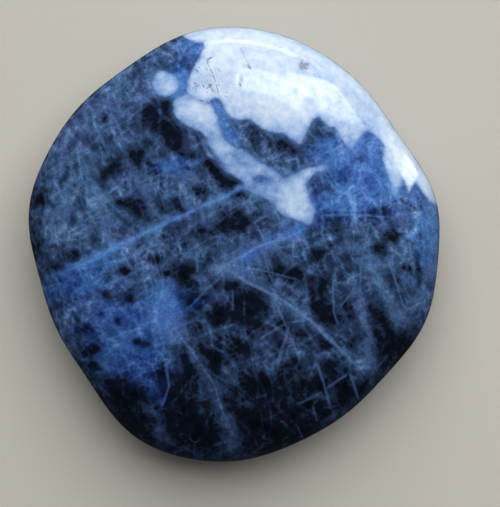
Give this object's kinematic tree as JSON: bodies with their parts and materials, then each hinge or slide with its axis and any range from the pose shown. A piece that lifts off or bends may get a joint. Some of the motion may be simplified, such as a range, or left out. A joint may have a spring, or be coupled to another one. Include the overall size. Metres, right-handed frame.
{
  "type": "polished sodalite palm stone",
  "caption": "Flattened, rounded blue stone with a white calcite cap and veins, polished all over, that rests on a small flat spot.",
  "frame": {"origin": "middle of the flat spot that the stone rests on", "axes": "+Z up through the stone's thickness, +Y towards the end with the white calcite cap, +X to the right when the crown is seen from above with +Y up"},
  "size_m": [0.0513, 0.0543, 0.0144],
  "materials": {
    "polished_sodalite": "high polish; navy and bright blue ground with near-black cells, pale blue veins and a white calcite cap"
  },
  "bodies": {
    "root": {"palm_stone": "polished_sodalite"}
  },
  "joints": []
}
